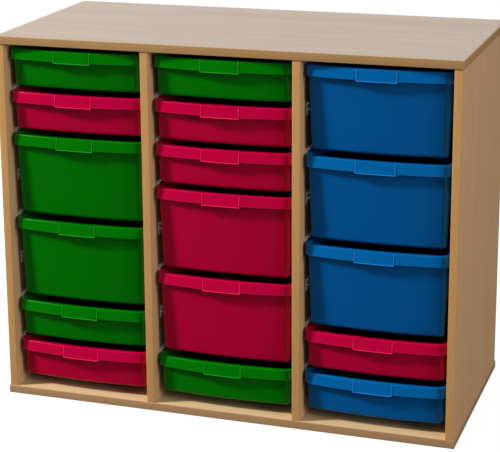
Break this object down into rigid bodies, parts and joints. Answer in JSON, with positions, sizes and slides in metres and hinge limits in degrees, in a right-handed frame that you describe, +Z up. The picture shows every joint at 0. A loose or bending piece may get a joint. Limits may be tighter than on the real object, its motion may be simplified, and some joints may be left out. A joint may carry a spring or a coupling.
{
  "type": "tray storage unit",
  "caption": "Floor-standing storage unit of faced board with side-by-side bays, whose shallow and deep moulded trays slide out on clear runners.",
  "frame": {"origin": "middle of the unit's footprint, on the floor plane that the base panel stands on", "axes": "+X to the right seen from the front, +Y to the back, +Z up; the trays pull out along -Y"},
  "size_m": [1.03, 0.49, 0.83],
  "materials": {
    "board": "wood-grain faced board, satin",
    "edging": "wood-grain edging strip, satin",
    "back": "thin faced board, matt",
    "runner": "clear polycarbonate",
    "tray_green": "moulded, low gloss, faintly translucent",
    "tray_crimson": "moulded, low gloss, faintly translucent",
    "tray_blue": "moulded, low gloss, faintly translucent"
  },
  "bodies": {
    "carcass": {"base_panel": "board", "top_panel": "board", "left_side_panel": "board", "left_divider_panel": "board", "right_divider_panel": "board", "right_side_panel": "board", "base_edging": "edging", "top_edging": "edging", "left_side_edging": "edging", "left_divider_edging": "edging", "right_divider_edging": "edging", "right_side_edging": "edging", "back_panel": "back", "runners_left_1": "runner", "runners_left_2": "runner", "runners_left_3": "runner", "runners_left_4": "runner", "runners_left_5": "runner", "runners_left_6": "runner", "runners_left_7": "runner", "runners_left_8": "runner", "runners_middle_1": "runner", "runners_middle_2": "runner", "runners_middle_3": "runner", "runners_middle_4": "runner", "runners_middle_5": "runner", "runners_middle_6": "runner", "runners_middle_7": "runner", "runners_middle_8": "runner", "runners_right_1": "runner", "runners_right_2": "runner", "runners_right_3": "runner", "runners_right_4": "runner", "runners_right_5": "runner", "runners_right_6": "runner", "runners_right_7": "runner", "runners_right_8": "runner"},
    "tray_left_1": {"tray_left_1": "tray_green"},
    "tray_left_2": {"tray_left_2": "tray_crimson"},
    "tray_left_3": {"tray_left_3": "tray_green"},
    "tray_left_4": {"tray_left_4": "tray_green"},
    "tray_left_5": {"tray_left_5": "tray_green"},
    "tray_left_6": {"tray_left_6": "tray_crimson"},
    "tray_middle_1": {"tray_middle_1": "tray_green"},
    "tray_middle_2": {"tray_middle_2": "tray_crimson"},
    "tray_middle_3": {"tray_middle_3": "tray_crimson"},
    "tray_middle_4": {"tray_middle_4": "tray_crimson"},
    "tray_middle_5": {"tray_middle_5": "tray_crimson"},
    "tray_middle_6": {"tray_middle_6": "tray_green"},
    "tray_right_1": {"tray_right_1": "tray_blue"},
    "tray_right_2": {"tray_right_2": "tray_blue"},
    "tray_right_3": {"tray_right_3": "tray_blue"},
    "tray_right_4": {"tray_right_4": "tray_crimson"},
    "tray_right_5": {"tray_right_5": "tray_blue"}
  },
  "joints": [
    {"name": "tray_left_1_slide", "type": "slide", "parent": "carcass", "child": "tray_left_1", "axis": [0, -1, 0], "range_m": [0, 0.3]},
    {"name": "tray_left_2_slide", "type": "slide", "parent": "carcass", "child": "tray_left_2", "axis": [0, -1, 0], "range_m": [0, 0.3]},
    {"name": "tray_left_3_slide", "type": "slide", "parent": "carcass", "child": "tray_left_3", "axis": [0, -1, 0], "range_m": [0, 0.3]},
    {"name": "tray_left_4_slide", "type": "slide", "parent": "carcass", "child": "tray_left_4", "axis": [0, -1, 0], "range_m": [0, 0.3]},
    {"name": "tray_left_5_slide", "type": "slide", "parent": "carcass", "child": "tray_left_5", "axis": [0, -1, 0], "range_m": [0, 0.3]},
    {"name": "tray_left_6_slide", "type": "slide", "parent": "carcass", "child": "tray_left_6", "axis": [0, -1, 0], "range_m": [0, 0.3]},
    {"name": "tray_middle_1_slide", "type": "slide", "parent": "carcass", "child": "tray_middle_1", "axis": [0, -1, 0], "range_m": [0, 0.3]},
    {"name": "tray_middle_2_slide", "type": "slide", "parent": "carcass", "child": "tray_middle_2", "axis": [0, -1, 0], "range_m": [0, 0.3]},
    {"name": "tray_middle_3_slide", "type": "slide", "parent": "carcass", "child": "tray_middle_3", "axis": [0, -1, 0], "range_m": [0, 0.3]},
    {"name": "tray_middle_4_slide", "type": "slide", "parent": "carcass", "child": "tray_middle_4", "axis": [0, -1, 0], "range_m": [0, 0.3]},
    {"name": "tray_middle_5_slide", "type": "slide", "parent": "carcass", "child": "tray_middle_5", "axis": [0, -1, 0], "range_m": [0, 0.3]},
    {"name": "tray_middle_6_slide", "type": "slide", "parent": "carcass", "child": "tray_middle_6", "axis": [0, -1, 0], "range_m": [0, 0.3]},
    {"name": "tray_right_1_slide", "type": "slide", "parent": "carcass", "child": "tray_right_1", "axis": [0, -1, 0], "range_m": [0, 0.3]},
    {"name": "tray_right_2_slide", "type": "slide", "parent": "carcass", "child": "tray_right_2", "axis": [0, -1, 0], "range_m": [0, 0.3]},
    {"name": "tray_right_3_slide", "type": "slide", "parent": "carcass", "child": "tray_right_3", "axis": [0, -1, 0], "range_m": [0, 0.3]},
    {"name": "tray_right_4_slide", "type": "slide", "parent": "carcass", "child": "tray_right_4", "axis": [0, -1, 0], "range_m": [0, 0.3]},
    {"name": "tray_right_5_slide", "type": "slide", "parent": "carcass", "child": "tray_right_5", "axis": [0, -1, 0], "range_m": [0, 0.3]}
  ]
}
